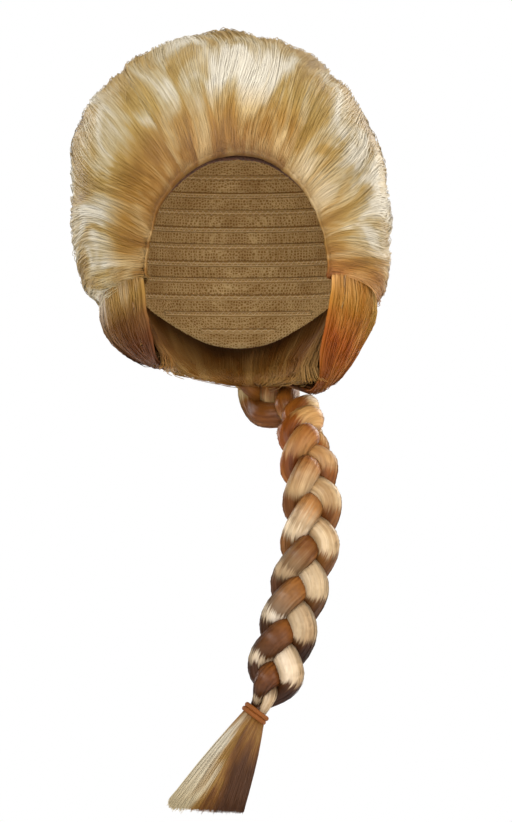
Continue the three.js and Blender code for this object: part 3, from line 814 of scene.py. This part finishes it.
# name: place function, locks, fibres, finish
MASSES = {
    "hair_top": (swept(64, 121), 5, 2200, top_finish),
    "hair_swell_right": (swept(119, 188, 6, 1), 4, 2200, right_finish),
    "hair_swell_left": (swept(-5, 66, -7, 0), 4, 2200, left_finish),
    "hair_side_right": (falling(172, 262), 6, 1600, lobe_finish),
    "hair_side_left": (falling(8, -82), 6, 1600, amber_finish),
}
BED_DEPTH, BED_WALL = 1.7, 1.2
BED_COLUMNS, BED_ROWS = 64, 52
LOCK_DEPTH, WISP_DEPTH, WISPS_PER_LOCK = 1.5, 0.45, 5
PARTING_DEPTH, PARTING_WIDTH = 2.0, 0.03
# how far a side mass starts under the swept hair, and where along it comes out, at its front and behind
TUCK_DEPTH, TUCK_BACK, TUCK_RUN = 6.0, 0.45, 0.14
TUCK_ENDS = {"hair_side_right": (0.19, 0.26), "hair_side_left": (0.17, 0.27)}
# where the fibres of a mass start along it, from the first to the last, and the share of them at the first
SIDE_STARTS = {"hair_side_right": (0.06, 0.6, 0.3), "hair_side_left": (0.0, 0.6, 0.1)}
SWEPT_STARTS = (0.0, 0.82, 0.3)
SWEPT_STATIONS, SIDE_STATIONS = 10, 8
FIBRE_RADIUS = 0.23
FIBRE_RUN, SIDE_RUN = (0.18, 0.38), 1.7  # shortest and longest share of a mass, and how much more at a side
WISP_PULL, WANDER = 0.7, 0.012  # how far fibres close up into a wisp, and stray across
EDGE_FRAY = 2.5  # how much more the fibres at a mass's edges stray
LEVELS = (-1.6, 0.5)  # lowest and highest lift of the fibres
STRAYS, STRAY_LIFT = 0.05, (0.2, 0.9)  # share of stray fibres, and how much higher they lie
ROOT_SINK, TIP_SINK = 3.0, 1.6
UV_FIRST, UV_LAST = 0.002, 0.998


def lock_relief(across, along, locks, hangs):
    """How far the hair is pressed in beside its locks, less beside the wisps of a lock, most at partings."""
    strayed = across + 0.04 * np.sin(6 * along + 11 * across) + 0.03 * np.sin(17 * across + 2)
    valley = LOCK_DEPTH * (0.5 + 0.5 * np.cos(2 * np.pi * locks * strayed))
    wisps = across * locks * WISPS_PER_LOCK + np.sin(5 * along + 9 * across)
    wisp = WISP_DEPTH * (0.5 + 0.5 * np.cos(2 * np.pi * wisps))
    from_edge = np.abs(1 - across) if hangs else np.minimum(np.abs(across), np.abs(1 - across))
    return -valley - wisp - PARTING_DEPTH * np.exp(-((from_edge / PARTING_WIDTH) ** 2))


def tuck(across, along, name):
    """How far a side mass is tucked under the swept hair, which is little at its front."""
    if name not in TUCK_ENDS:
        return 0
    at_front, behind = TUCK_ENDS[name]
    end = at_front + (behind - at_front) * ease(across / TUCK_BACK)
    out = ease((along - end) / TUCK_RUN + 0.5)
    return -TUCK_DEPTH * (1 - out) * np.clip(0.3 + across * 4, 0, 1)


def taper(share, root, tip):
    """Thickness along a fibre, from a root to a tip that are shares of the full one."""
    return np.minimum(root + 5 * share, tip + 4 * (1 - share)).clip(0, 1)


def comb_fibres(name, place, locks, count):
    """Paths, radii, places across and along, and outward directions of the fibres of a mass."""
    hangs = name in TUCK_ENDS
    share = np.linspace(0, 1, SIDE_STATIONS if hangs else SWEPT_STATIONS)
    across = (np.arange(count) + rng.random(count)) / count
    earliest, latest, rooted = SIDE_STARTS.get(name, SWEPT_STARTS)
    first = earliest + (latest - earliest) * rng.random(count) ** 1.35
    first = np.where(rng.random(count) < rooted, earliest, first)
    last = np.minimum(first + rng.uniform(*FIBRE_RUN, count) * (SIDE_RUN if hangs else 1), 1)
    along = first[:, None] + (last - first)[:, None] * share
    wisps = locks * WISPS_PER_LOCK * 2
    middle = (np.floor(across * wisps) + rng.uniform(0.2, 0.8, count)) / wisps
    pull = rng.uniform(0, WISP_PULL, count)[:, None] * share**1.5
    wander = rng.normal(0, WANDER, count)[:, None]
    wander = wander * np.sin(np.pi * share * rng.uniform(0.6, 1.8, count)[:, None])
    fray = EDGE_FRAY * np.exp(-np.minimum(across, 1 - across) / PARTING_WIDTH)[:, None]
    wander = wander * (1 + fray * np.clip(along * 10 - 1.5, 0, 1) * (not hangs))
    run = across[:, None] + (middle - across)[:, None] * pull + wander
    run = np.maximum(run, 0.01) if hangs else run
    level = rng.uniform(*LEVELS, count)
    level = level + np.where(rng.random(count) < STRAYS, rng.uniform(*STRAY_LIFT, count), 0)
    rise = np.where(first[:, None] > earliest, -ROOT_SINK * np.clip(1 - share * 6, 0, 1), 0)
    dive = -TIP_SINK * np.clip(share * 5 - 4, 0, 1)
    lift = lock_relief(run, along, locks, hangs) + tuck(run, along, name) + level[:, None] + rise + dive
    paths, out = lifted(place, run, along, lift, 0 if hangs else ROLL)
    radius = FIBRE_RADIUS * taper(share, 0.35, 0.12) * rng.uniform(0.7, 1.25, count)[:, None]
    return paths, radius, np.clip(run, UV_FIRST, UV_LAST), np.clip(along, UV_FIRST, UV_LAST), out


for name, (place, locks, count, finish) in MASSES.items():
    hangs = name in TUCK_ENDS

    def bed_place(across, along):
        depth = lock_relief(across, along, locks, hangs) + tuck(across, along, name) - BED_DEPTH
        return lifted(place, across, along, depth, 0 if hangs else ROLL)[0]

    bed = finish_piece(bent_grid(name + "_bed", BED_COLUMNS, BED_ROWS, bed_place), finish, "hair_fibre")
    wall = bed.modifiers.new("wall", "SOLIDIFY")
    wall.thickness = BED_WALL * MM
    wall.offset = 0
    mass_mesh = fibre_mesh(name + "_fibres", *comb_fibres(name, place, locks, count))
    finish_piece(mass_mesh, finish, "hair_fibre", name)

# %% [markdown]
# ## Nape
# The lowest wefts hang under the hem at the back, and their hair is gathered into the braid. It shows through
# the face opening, below the cap. Its fibres run down the inside of the hair, first on the round of the cap
# and then on the upright wall of the lower opening, and turn along its edge to where the braid starts.

# %% Nape fibres
NAPE_FIBRES, NAPE_STATIONS, NAPE_RADIUS = 1500, 9, 0.24
NAPE_FIRST, NAPE_SPAN = 78, 204  # turn from the front to the first root, and from there to the last, degrees
NAPE_UNDER = 0.02  # how far below the rim they are rooted, radians
NAPE_SIZE = (220, 90)
WALL_HALF_WIDTH, WALL_BACK = 45.6, 42.6  # of the upright wall
NAPE_FOOT, LEFT_RISE, RIGHT_RISE = -183.5, 1, 10  # lowest height, and how much higher it is at either side
RISE_TURN = 1.4  # radians from the gathered hair at which that is reached
DROP_END = 0.62  # share of a fibre at which it has come down
# where the fibres are gathered, how far out of the wall, and the share of their spread that stays
GATHER_TURN, GATHER_OUT, GATHER_SPREAD = math.radians(168), 22, 0.12
# share of the fibres that fill the hair at either side, and how far out they lie there
FLANK_SHARE, FLANK_LEFT, FLANK_RIGHT = 0.13, 18, 10
# painted shade at the roots, under the cap, lighter towards the ends
NAPE_ROOTS = {0: "#6a4824", 0.3: "#b48c54", 0.7: "#dcb878", 1: "#c89858"}

nape_finish = hair_finish("modacrylic_nape", NAPE_SIZE, BLONDE, NAPE_ROOTS, shift=6.3)
nape_run = np.linspace(0, 1, NAPE_STATIONS)
spread = (np.arange(NAPE_FIBRES) + rng.random(NAPE_FIBRES)) / NAPE_FIBRES
root_turn = np.radians(NAPE_FIRST + NAPE_SPAN * spread)[:, None]
on_left = root_turn < GATHER_TURN
top = cap_form(root_turn, rim_down(root_turn) + NAPE_UNDER, 0)[..., 2]
drop = np.clip(nape_run / DROP_END, 0, 1)
flank = np.clip(1 - np.minimum(spread, 1 - spread) / FLANK_SHARE, 0, 1)[:, None]
onward = ease((nape_run - rng.uniform(0.2, 0.45, (NAPE_FIBRES, 1))) / 0.55) * (1 - flank)
beside = np.clip(np.abs(root_turn - GATHER_TURN) / RISE_TURN, 0, 1) ** 2 * (1 - onward)
foot = NAPE_FOOT + np.where(on_left, LEFT_RISE, RIGHT_RISE) * beside + rng.normal(0, 1.2, (NAPE_FIBRES, 1))
nape_height = top + (foot - top) * drop * (2 - drop)
nape_turn = root_turn + (GATHER_TURN + GATHER_SPREAD * (root_turn - GATHER_TURN) - root_turn) * onward
round_share = np.sqrt(np.clip(1 - ((nape_height + CAP_HEIGHT) / CAP_HEIGHT) ** 2, 0, 1))
inset = rng.uniform(2.0, 4.0, (NAPE_FIBRES, 1)) - GATHER_OUT * onward**3
inset = inset - np.where(on_left, FLANK_LEFT, FLANK_RIGHT) * flank * rng.random((NAPE_FIBRES, 1)) * drop
nape_paths = np.stack([
    (np.maximum(CAP_HALF[0] * round_share, WALL_HALF_WIDTH) - inset) * np.sin(nape_turn),
    -(np.maximum(CAP_HALF[1] * round_share, WALL_BACK) - inset) * np.cos(nape_turn),
    nape_height,
], -1)
nape_radius = NAPE_RADIUS * taper(nape_run, 1, 0.2)
nape_across, nape_along = 0.01 + 0.98 * spread[:, None], 0.02 + 0.96 * nape_run
nape_mesh = fibre_mesh("nape_fibres", nape_paths, nape_radius, nape_across, nape_along)
finish_piece(nape_mesh, nape_finish, "hair_fibre")

# %% [markdown]
# ## Braid
# The braid is three thick strands that swing from side to side once a period and pass over and under each
# other twice. It starts where the hair is gathered at the nape. Each strand is a flattened tube with grooves
# along it, covered in fibres that run with it. Its gloss breaks into the bands of a combed strand, and cream
# highlights and brown shade are painted on along it in the same bands.

# %% Route of the braid
ROUTE = np.array([
    (13, 70, -172), (14, 70, -184), (23, 65, -197), (36, 50, -206), (43, 30, -212), (43, 8, -219),
    (45, -12, -230), (47.5, -28, -246.5), (48.5, -41, -270), (46, -50, -294.5), (39.5, -57, -318.5),
    (32.5, -63, -344), (26.5, -66, -363.5), (20.5, -69, -384), (11.5, -70, -397.5), (6, -70.5, -404.5),
], float)
BRAID_AXIS = np.array([18, 25, 0], float)  # the upright line that the braid's front faces away from
BRAID_PERIOD, BRAID_START_TURN = 86, 0.29
SWING, WEAVE = 10.8, 8.0
STRAND_HALF_WIDTH, STRAND_HALF_DEPTH = 8.3, 6.4
TAPER_START, TAPER_END, TAPER_SCALE = 0.875, 0.96, 0.34


def run_lengths(points):
    """The length from the first point to each."""
    return np.concatenate([[0], np.cumsum(np.linalg.norm(np.diff(points, axis=0), axis=1))])


knots = run_lengths(ROUTE)
fine_knots = np.linspace(0, knots[-1], 1200)
fine_route = np.stack([smooth(np.column_stack([knots, ROUTE]), k, fine_knots) for k in (1, 2, 3)], -1)
fine_heading = unit(np.gradient(fine_route, axis=0))
run_length = run_lengths(fine_route)
route_length = run_length[-1]
tie_share = np.interp(knots[-2], fine_knots, run_length) / route_length


def along_route(values, share):
    return np.stack([np.interp(share * route_length, run_length, values[:, k]) for k in range(3)], -1)


def braid_scale(share):
    return 1 + (TAPER_SCALE - 1) * ease((share - TAPER_START) / (TAPER_END - TAPER_START))


def strand_middle(share, phase):
    """The middle line of a strand at a share of the route, and the direction to the braid's front there."""
    middle, heading = along_route(fine_route, share), unit(along_route(fine_heading, share))
    front = (middle - BRAID_AXIS) * (1, 1, 0)
    front = unit(front - (front * heading).sum(-1, keepdims=True) * heading)
    side = np.cross(front, heading)
    turn = 2 * np.pi * (share * route_length / BRAID_PERIOD + BRAID_START_TURN) + phase
    scale = braid_scale(share)
    swing = (SWING * scale * np.sin(turn))[..., None] * side
    return middle + swing + (WEAVE * scale * np.sin(2 * turn))[..., None] * front, front


def strand_place(phase):
    """Place function of a strand's skin: across runs round it and along from the nape to the tie."""

    def place(across, along):
        share = tie_share * along
        middle, front = strand_middle(share, phase)
        heading = unit(strand_middle(share + SMALL, phase)[0] - strand_middle(share - SMALL, phase)[0])
        side = unit(np.cross(front, heading))
        out = np.cross(heading, side)
        turn = 2 * np.pi * across
        wide = (STRAND_HALF_WIDTH * braid_scale(share) * np.cos(turn))[..., None] * side
        return middle + wide + (STRAND_HALF_DEPTH * braid_scale(share) * np.sin(turn))[..., None] * out

    return place


print("braid in mm:", round(route_length), "tie at share", round(tie_share, 3))

# %% Tones of the braid
STRAND_SIZE = (50, 230)
STRAND_ROUGHNESS, STRAND_GLOSS = 0.38, 0.24
BRAID_BLONDE = ("#9e8668", "#baaa92", "#d1c6b6", "#e7e1d8")
BRAID_ROOTS = {
    0: "#e8d8b4", 0.2: "#ecd6a8", 0.38: "#e8b87c", 0.5: "#fff0da", 0.75: "#fffaf4", 0.88: "#f2e8dc",
    1: "#e0d4c6",
}
# Along a strand a painted highlight, cream, and painted shade, brown, change places with every lobe. The
# stops are shares of a period: the lobe that runs to the right edge from 0, its way back behind, the lobe to
# the left edge from 0.5, and back.
UPPER_PAINTED_GLOSS = {
    0: "#fffaec", 0.14: "#fffaec", 0.18: "#c89454", 0.27: "#b07c44", 0.42: "#b8844a", 0.5: "#b88448",
    0.57: "#dcac70", 0.64: "#fff0d8", 0.73: "#fffaec", 0.76: "#b88448", 0.9: "#b8844a", 1: "#fffaec",
}
LOWER_PAINTED_GLOSS = {
    0: "#fff8ec", 0.136: "#fff8ec", 0.165: "#644022", 0.21: "#482a14", 0.42: "#6a4424", 0.5: "#a06a34",
    0.56: "#7c5028", 0.66: "#60401f", 0.688: "#fffcf6", 0.715: "#fffcf6", 0.737: "#583618", 0.9: "#6a4424",
    1: "#fff8ec",
}
BAND_RAGGED, BAND_LAG = 0.09, 0.06  # raggedness of the bands' ends, and how far they fall behind by the tie

band_repeats = tie_share * route_length / BRAID_PERIOD - BAND_LAG
braid_finishes = []
for k in range(3):
    bands = (band_repeats, (BRAID_START_TURN + k / 3) % 1, BAND_RAGGED, UPPER_PAINTED_GLOSS, LOWER_PAINTED_GLOSS)
    braid_finishes.append(hair_finish(
        f"modacrylic_braid_{k + 1}", STRAND_SIZE, BRAID_BLONDE, BRAID_ROOTS, shift=2.3 * k,
        roughness=STRAND_ROUGHNESS, gloss=STRAND_GLOSS, bands=bands,
    ))
print("bands repeat along a strand:", round(band_repeats, 2))

# %% Braid strands
STRAND_COLUMNS, STRAND_ROWS, STRAND_END_ROWS = 40, 160, 3
STRAND_GROOVES, GROOVE_DEPTH, GROOVE_SWAY = 13, 0.035, 0.7
STRAND_FIBRES, STRAND_STATIONS, STRAND_FIBRE_RADIUS = 600, 12, 0.19
STRAND_ROOTED, STRAND_LAST_START = 0.15, 0.88  # share of fibres that start at the nape, and the last start
STRAND_RUN = (0.08, 0.2)  # shortest and longest share of a strand
STRAND_LIFT, STRAND_DIP = (1.0, 1.045), 0.07  # how far out they lie, and how far their ends dip

strand_run = np.linspace(0, 1, STRAND_STATIONS)
strand_radius = STRAND_FIBRE_RADIUS * taper(strand_run, 0.3, 0.2)
strand_dip = STRAND_DIP * (np.abs(strand_run - 0.5) * 2) ** 6
for k, finish in enumerate(braid_finishes):
    name = f"braid_strand_{k + 1}"
    phase = 2 * np.pi * k / 3
    skin = strand_place(phase)

    def grooved(across, along):
        ripple = np.cos(2 * np.pi * (STRAND_GROOVES * across + GROOVE_SWAY * np.sin(6 * along)))
        groove = 1 - GROOVE_DEPTH * (0.5 + 0.5 * ripple)
        closed = np.clip(np.minimum(along, 1 - along) * STRAND_ROWS / STRAND_END_ROWS, 0, 1) ** 0.5
        middle = strand_middle(tie_share * along, phase)[0]
        return middle + (skin(across, along) - middle) * (groove * closed)[..., None]

    finish_piece(bent_grid(name + "_body", STRAND_COLUMNS, STRAND_ROWS, grooved), finish, "braid_fibre")
    rooted = rng.random(STRAND_FIBRES) < STRAND_ROOTED
    first = np.where(rooted, 0, rng.uniform(0, STRAND_LAST_START, STRAND_FIBRES))
    last = np.minimum(first + rng.uniform(*STRAND_RUN, STRAND_FIBRES), 1)
    along = first[:, None] + (last - first)[:, None] * strand_run
    around = (np.arange(STRAND_FIBRES) / STRAND_FIBRES)[:, None]
    around = around + rng.normal(0, 0.02, (STRAND_FIBRES, 1)) * strand_run
    lift = rng.uniform(*STRAND_LIFT, STRAND_FIBRES)[:, None] - strand_dip
    middle = strand_middle(tie_share * along, phase)[0]
    paths = middle + (skin(around, along) - middle) * lift[..., None]
    across = np.mod(around, 1).clip(UV_FIRST, UV_LAST)
    strand_mesh = fibre_mesh(name + "_fibres", paths, strand_radius, across, along, unit(paths - middle))
    finish_piece(strand_mesh, finish, "braid_fibre", name)

# %% [markdown]
# ## Hair tie
# A covered elastic holds the end of the braid. It goes round twice, so it is two rings side by side, each
# wrapped in thread that shows as fine slanting ridges.

# %% Covered elastic
cover = new_material("thread_covered_elastic")  # thread wound round rubber: dull amber in slanting ridges
cover_flow = add(cover, "UVMap", uv_map=UV_NAME)
wound = add(cover, "Mapping", {"Vector": cover_flow}, Scale=(2, 60, 1))
lines = add(
    cover, "TexWave", {"Vector": wound}, bands_direction="DIAGONAL", Scale=1.0, Distortion=0.3
).outputs["Fac"]
cover_dye = add(cover, "ValToRGB", {"Fac": lines}, {0: "#5a300c", 1: "#925420"})
covered = add(
    cover, "BsdfPrincipled", {"Base Color": cover_dye}, Roughness=0.6, Specular_IOR_Level=0.2
)
add(cover, "OutputMaterial", {"Surface": covered})
print("finish of the tie:", cover.name)

# %% Hair tie
TIE = ROUTE[-2]
TIE_AXIS = unit(np.array([-0.6, -0.05, -0.8]))
TIE_ASIDE = unit(np.cross((0, -1, 0), TIE_AXIS))
TIE_OUT = np.cross(TIE_AXIS, TIE_ASIDE)
TIE_RADIUS, TIE_CORD, TIE_OFFSET = 7.6, 1.6, 1.5
TIE_WRAPS, TIE_RIDGE = 46, 0.07
TIE_SIDES, TIE_ROWS = 10, 5 * TIE_WRAPS

tie_rings = []
for offset in (-TIE_OFFSET, TIE_OFFSET):

    def tie_place(across, along):
        turn, ring = 2 * np.pi * across, 2 * np.pi * along
        cord = TIE_CORD * (1 + TIE_RIDGE * np.cos(TIE_WRAPS * ring + turn))
        out = np.cos(ring)[..., None] * TIE_ASIDE + np.sin(ring)[..., None] * TIE_OUT
        around = out * (TIE_RADIUS + cord * np.cos(turn))[..., None]
        return TIE + around + TIE_AXIS * (offset + cord * np.sin(turn))[..., None]

    tie_rings.append(bent_grid("tie_ring", TIE_SIDES, TIE_ROWS, tie_place))
finish_piece(joined("hair_tie_cover", tie_rings), cover, "tie_elastic", "hair_tie")

# %% [markdown]
# ## Tuft
# Below the tie the hair hangs loose and fans out to a blunt cut. Its fibres leave the tie in a round bundle
# and spread straight to a flat end, over a body in the same form that fills the middle.

# %% Tuft
TUFT_FIBRES, TUFT_STATIONS, TUFT_FIBRE_RADIUS = 1400, 6, 0.24
TUFT_END = np.array([-22.2, -71, -459.2], float)
TUFT_SPREAD = np.array([26, 0, -1.4], float)  # from the middle of the end to its left tip
TUFT_TOP_RADIUS, TUFT_HALF_DEPTH = 6.6, 10.0
TUFT_CORNER, TUFT_CORNER_START = 0.09, 0.7  # how much shorter its right corner is cut, and from where across
TUFT_COLUMNS, TUFT_ROWS = 40, 24
TUFT_BODY = 0.95  # width of the body inside the fibres
TUFT_REACH, TUFT_FRINGE = 0.93, 0.09  # where the fibres lie between the middle and the skin, and how thickly
TUFT_BEND, TUFT_UNEVEN = 0.8, 0.012  # how far fibres bow, and how unevenly they are cut
TUFT_SIZE = (60, 68)
TUFT_BLONDE = ("#4c2c11", "#734a1e", "#987438", "#c8beaa")
TUFT_ROOTS = {0: "#c8a060", 0.25: "#ffffff", 1: "#f0e6cc"}
# painted highlight on its right, painted shade on its left
TUFT_PAINTED_LIGHT = [(0.0, 0.6, 0.5, 1.6, 0.3), (1.0, 0.6, 0.6, 1.6, -0.26)]


def tuft_place(fan, deep, share):
    """Points of the tuft at places across and through it, both from -1 to 1, and a share of its length."""
    fan, deep, share = (np.asarray(values)[..., None] for values in (fan, deep, share))
    start = TIE - TIE_AXIS + TUFT_TOP_RADIUS * (fan * TIE_ASIDE + deep * TIE_OUT)
    end = TUFT_END + fan * TUFT_SPREAD + deep * TUFT_HALF_DEPTH * FORWARD
    cut = 1 - TUFT_CORNER * np.clip((-fan - TUFT_CORNER_START) / (1 - TUFT_CORNER_START), 0, 1) ** 2
    return start + (end - start) * share * cut


def tuft_body_place(across, along):
    closed = np.clip(np.minimum(along, 1 - along) * TUFT_ROWS, 0, 1) * TUFT_BODY
    share = 0.01 + 0.98 * np.clip((along * TUFT_ROWS - 1) / (TUFT_ROWS - 2), 0, 1)
    return tuft_place(np.cos(2 * np.pi * across) * closed, np.sin(2 * np.pi * across) * closed, share)


tuft_finish = hair_finish("modacrylic_tuft", TUFT_SIZE, TUFT_BLONDE, TUFT_ROOTS, TUFT_PAINTED_LIGHT, 4.4)
body_mesh = bent_grid("tail_tuft_body", TUFT_COLUMNS, TUFT_ROWS, tuft_body_place)
body_uv = np.empty(2 * len(body_mesh.loops))
body_mesh.uv_layers[UV_NAME].data.foreach_get("uv", body_uv)
body_uv[::2] = 0.5 + 0.49 * np.cos(2 * np.pi * body_uv[::2])
body_mesh.uv_layers[UV_NAME].data.foreach_set("uv", body_uv)
finish_piece(body_mesh, tuft_finish, "braid_fibre")

tuft_run = np.linspace(0, 1, TUFT_STATIONS)
tuft_turn = rng.uniform(0, 2 * np.pi, TUFT_FIBRES)
reach = TUFT_REACH + TUFT_FRINGE * rng.random(TUFT_FIBRES)
fan, deep = reach * np.cos(tuft_turn), reach * np.sin(tuft_turn)
cut_run = tuft_run[None] * rng.normal(1, TUFT_UNEVEN, (TUFT_FIBRES, 1))
tuft_paths = tuft_place(fan[:, None], deep[:, None], cut_run)
bow = rng.normal(0, TUFT_BEND, (TUFT_FIBRES, 1)) * np.sin(np.pi * tuft_run)
tuft_paths = tuft_paths + bow[..., None] * (1, 0.6, 0)
tuft_radius = TUFT_FIBRE_RADIUS * (1 - 0.4 * tuft_run**6)
tuft_across, tuft_along = (0.5 + 0.49 * fan)[:, None], 0.02 + 0.96 * tuft_run
tuft_mesh = fibre_mesh("tail_tuft_fibres", tuft_paths, tuft_radius, tuft_across, tuft_along)
finish_piece(tuft_mesh, tuft_finish, "braid_fibre", "tail_tuft")
